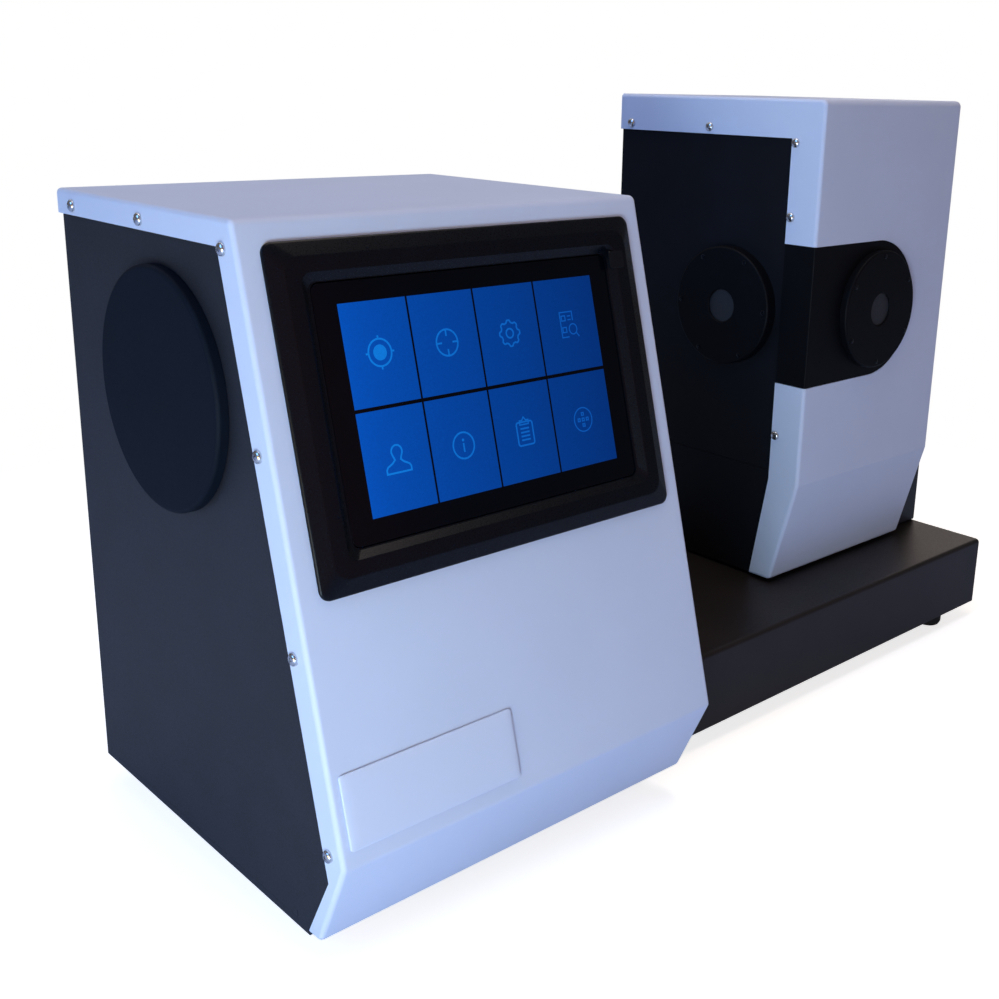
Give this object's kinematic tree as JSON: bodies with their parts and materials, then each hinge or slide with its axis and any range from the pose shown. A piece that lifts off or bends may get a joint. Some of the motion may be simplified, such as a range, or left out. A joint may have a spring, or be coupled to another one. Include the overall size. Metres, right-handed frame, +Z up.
{
  "type": "haze meter",
  "caption": "Bench haze meter: slanted touch screen console, open sample gap, and a tower with an integrating sphere and two ports on a low base.",
  "frame": {"origin": "centre of the bounding box at the plane the feet stand on", "axes": "+X runs along the light beam from the console to the tower, -Y is the front with the screen, +Z up"},
  "size_m": [0.603, 0.2466, 0.3813],
  "materials": {
    "white_paint": "fine textured off-white powder coat",
    "base_paint": "semi-gloss black paint",
    "black_panel": "fine textured black paint on aluminium sheet",
    "black_plastic": "satin black plastic",
    "black_gloss": "glossy black plastic",
    "rubber": "matt black rubber",
    "screw_steel": "bright zinc plate",
    "bare_aluminium": "milled aluminium",
    "black_anodised": "black anodised aluminium",
    "sphere_shell": "spun aluminium, white barium sulphate coat inside",
    "diffuse_white": "matt white reference surface",
    "optical_glass": "clear coated lens",
    "screen_glass": "smooth touch glass",
    "module": "display module with a metal frame",
    "badge": "smooth white plate, bare",
    "circuit_board": "green circuit board",
    "supply": "plain sheet chassis",
    "zinc_plate": "zinc-plated steel"
  },
  "bodies": {
    "housing": {"base_shell": "base_paint", "base_bottom_plate": "zinc_plate", "foot_front_left": "rubber", "foot_front_right": "rubber", "foot_rear_left": "rubber", "foot_rear_right": "rubber", "console_cover": "white_paint", "console_left_panel": "black_panel", "console_right_panel": "black_panel", "console_rear_panel": "black_panel", "display_bezel": "black_gloss", "display_glass": "screen_glass", "display_module": "module", "badge_plate": "badge", "console_screw_1": "screw_steel", "console_screw_2": "screw_steel", "console_screw_3": "screw_steel", "console_screw_4": "screw_steel", "console_screw_5": "screw_steel", "console_screw_6": "screw_steel", "optical_bench": "bare_aluminium", "lamp_heat_sink": "black_anodised", "lamp_led": "diffuse_white", "condenser_holder": "black_anodised", "condenser_lens": "optical_glass", "field_stop": "black_anodised", "collimator_barrel": "black_anodised", "collimator_lens": "optical_glass", "exit_collar": "black_plastic", "main_board": "circuit_board", "power_supply": "supply", "fan_frame": "black_plastic", "power_inlet": "black_plastic", "usb_socket": "zinc_plate", "sensor_loom": "rubber", "tower_cover": "white_paint", "tower_left_panel_upper": "black_panel", "tower_left_panel_lower": "black_panel", "tower_right_panel": "black_panel", "tower_rear_panel": "black_panel", "port_band": "black_panel", "haze_port_disc": "black_plastic", "comp_port_disc": "black_plastic", "tower_screw_1": "screw_steel", "tower_screw_2": "screw_steel", "tower_screw_3": "screw_steel", "tower_screw_4": "screw_steel", "tower_screw_5": "screw_steel", "light_trap": "black_anodised", "trap_housing": "black_panel", "flap_motor": "zinc_plate", "sphere_front_half": "sphere_shell", "sphere_rear_half": "sphere_shell", "sphere_stand": "black_anodised", "detector_housing": "black_anodised"},
    "lid": {"lamp_bay_lid": "black_plastic", "lid_seal": "rubber"},
    "rocker": {"power_rocker": "black_gloss"},
    "fan": {"fan_rotor": "black_plastic"},
    "flap": {"trap_flap": "diffuse_white"}
  },
  "joints": [
    {"name": "lid_pull", "type": "slide", "parent": "housing", "child": "lid", "axis": [-1, 0, 0], "range_m": [0, 0.01]},
    {"name": "rocker_tip", "type": "hinge", "parent": "housing", "child": "rocker", "pos_m": [-0.1295, 0.115, 0.0986], "axis": [1, 0, 0], "range_deg": [0, 16]},
    {"name": "fan_spin", "type": "hinge", "parent": "housing", "child": "fan", "pos_m": [-0.2375, 0.1085, 0.1266], "axis": [0, 1, 0], "continuous": true},
    {"name": "flap_swing", "type": "hinge", "parent": "housing", "child": "flap", "pos_m": [0.245, 0.0186, 0.2986], "axis": [1, 0, 0], "range_deg": [0, 45]}
  ]
}
